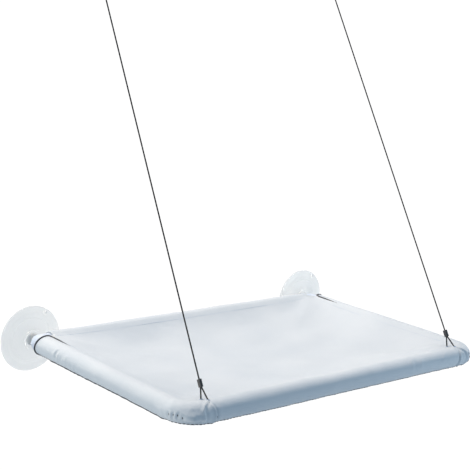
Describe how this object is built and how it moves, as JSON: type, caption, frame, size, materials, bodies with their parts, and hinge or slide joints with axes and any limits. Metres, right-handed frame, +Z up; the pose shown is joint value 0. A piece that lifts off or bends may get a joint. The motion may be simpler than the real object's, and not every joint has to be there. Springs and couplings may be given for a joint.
{
  "type": "window cat hammock",
  "caption": "Cloth sling on a rectangular tube frame, held to a window by suction cups and hung from wire cables; the tray lifts about its back edge and thumb knobs turn on the upper cups.",
  "frame": {"origin": "On the glass plane, midway between the two lower suction cups, level with the centre of the back tube.", "axes": "+X runs along the glass to the right as seen from the room, +Y points out of the room into the glass, +Z is up."},
  "size_m": [0.625, 0.3779, 0.695],
  "materials": {
    "tube": "white PVC tube",
    "fitting": "moulded grey-white plastic",
    "cloth": "pale blue woven cloth, lined",
    "cup": "clear soft PVC",
    "stud": "moulded nylon",
    "zinc": "zinc plated steel",
    "knob": "white moulded plastic",
    "ferrule": "crimped, dark",
    "wire": "dark wire rope"
  },
  "bodies": {
    "mounts": {"lower_left_cup": "cup", "lower_right_cup": "cup", "lower_left_ball_stud": "stud", "lower_right_ball_stud": "stud", "upper_left_cup": "cup", "upper_right_cup": "cup", "upper_left_screw": "zinc", "upper_right_screw": "zinc", "left_spool": "fitting", "right_spool": "fitting", "left_washer": "zinc", "right_washer": "zinc", "left_upper_eye": "wire", "right_upper_eye": "wire", "left_upper_ferrule": "ferrule", "right_upper_ferrule": "ferrule", "left_cable": "wire", "right_cable": "wire"},
    "tray": {"front_tube": "tube", "back_tube": "tube", "left_tube": "tube", "right_tube": "tube", "front_left_elbow": "fitting", "front_right_elbow": "fitting", "back_left_socket": "fitting", "back_right_socket": "fitting", "sling_panel": "cloth", "front_sleeve": "cloth", "back_sleeve": "cloth", "left_sleeve": "cloth", "right_sleeve": "cloth", "front_left_corner_cover": "cloth", "front_right_corner_cover": "cloth", "left_lower_loop": "wire", "right_lower_loop": "wire", "left_lower_ferrule": "ferrule", "right_lower_ferrule": "ferrule"},
    "left_knob": {"left_knob": "knob"},
    "right_knob": {"right_knob": "knob"}
  },
  "joints": [
    {"name": "tray_lift", "type": "hinge", "parent": "mounts", "child": "tray", "pos_m": [0, -0.028, 0], "axis": [-1, 0, 0], "range_deg": [0, 60], "deforming": ["left_cable", "right_cable"]},
    {"name": "left_knob_turn", "type": "hinge", "parent": "mounts", "child": "left_knob", "pos_m": [-0.216, -0.03, 0.6], "axis": [0, -1, 0], "continuous": true},
    {"name": "right_knob_turn", "type": "hinge", "parent": "mounts", "child": "right_knob", "pos_m": [0.216, -0.03, 0.6], "axis": [0, -1, 0], "continuous": true}
  ]
}
